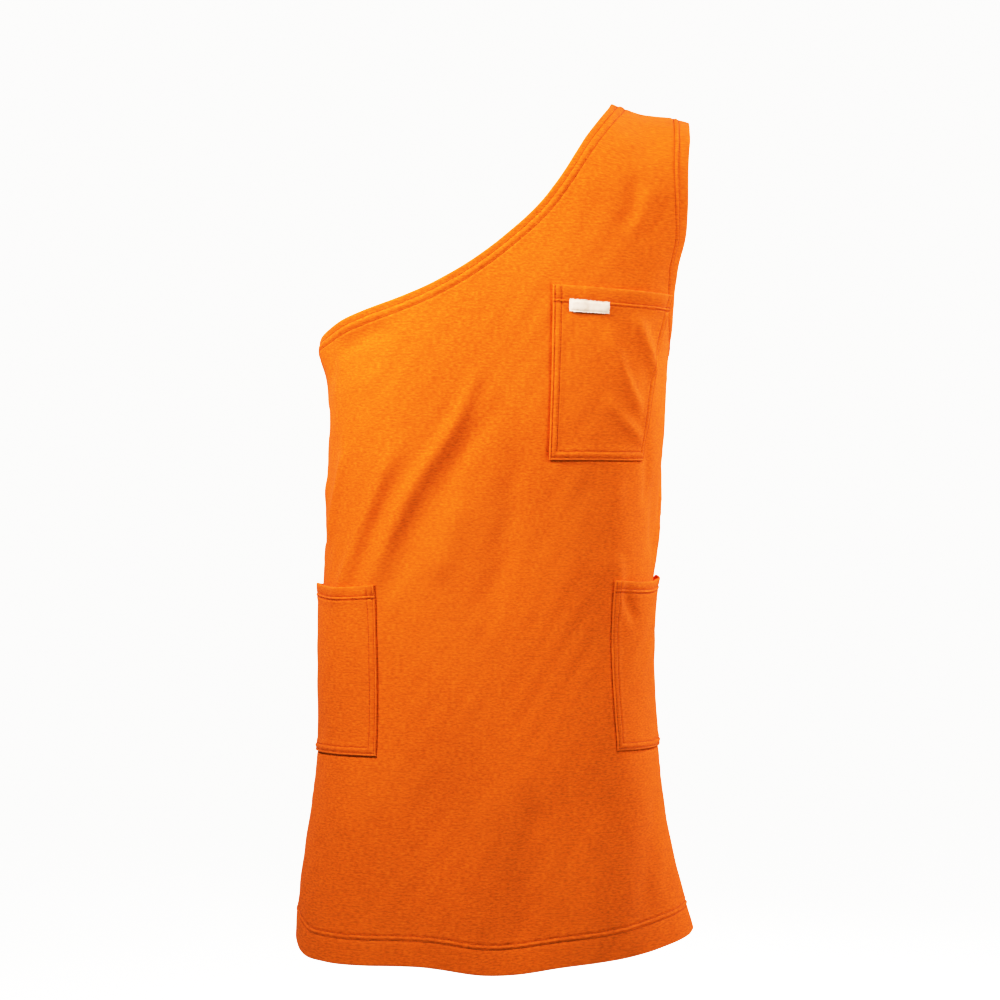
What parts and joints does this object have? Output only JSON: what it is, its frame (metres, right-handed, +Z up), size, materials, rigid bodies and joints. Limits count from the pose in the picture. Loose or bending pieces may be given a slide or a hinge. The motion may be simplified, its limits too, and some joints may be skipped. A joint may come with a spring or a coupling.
{
  "type": "shoulder robe",
  "caption": "One-shouldered cotton jersey vest, hollow as worn, with turned hems, a chest patch pocket, hip patch pockets round the side seams and a blank label.",
  "frame": {"origin": "underside of the strap at its middle, where the wearer's left shoulder holds it up", "axes": "+Z up, -Y towards the front of the wearer, +X towards the wearer's left"},
  "size_m": [0.3473, 0.2658, 0.7438],
  "materials": {
    "jersey": "matt orange cotton jersey with a fine darker fleck along the rows of knitting",
    "hem_jersey": "matt orange cotton jersey, turned under and stitched in two rows",
    "pocket_jersey": "matt orange cotton jersey, patch pockets",
    "label_tape": "off-white woven cotton tape, blank"
  },
  "bodies": {
    "root": {"front": "jersey", "back": "jersey", "front_neck_hem": "hem_jersey", "back_neck_hem": "hem_jersey", "front_armhole_hem": "hem_jersey", "back_armhole_hem": "hem_jersey", "front_bottom_hem": "hem_jersey", "back_bottom_hem": "hem_jersey", "chest_pocket": "pocket_jersey", "chest_pocket_turning": "hem_jersey", "right_hip_pocket": "pocket_jersey", "right_hip_pocket_turning": "hem_jersey", "left_hip_pocket": "pocket_jersey", "left_hip_pocket_turning": "hem_jersey", "label": "label_tape"}
  },
  "joints": []
}
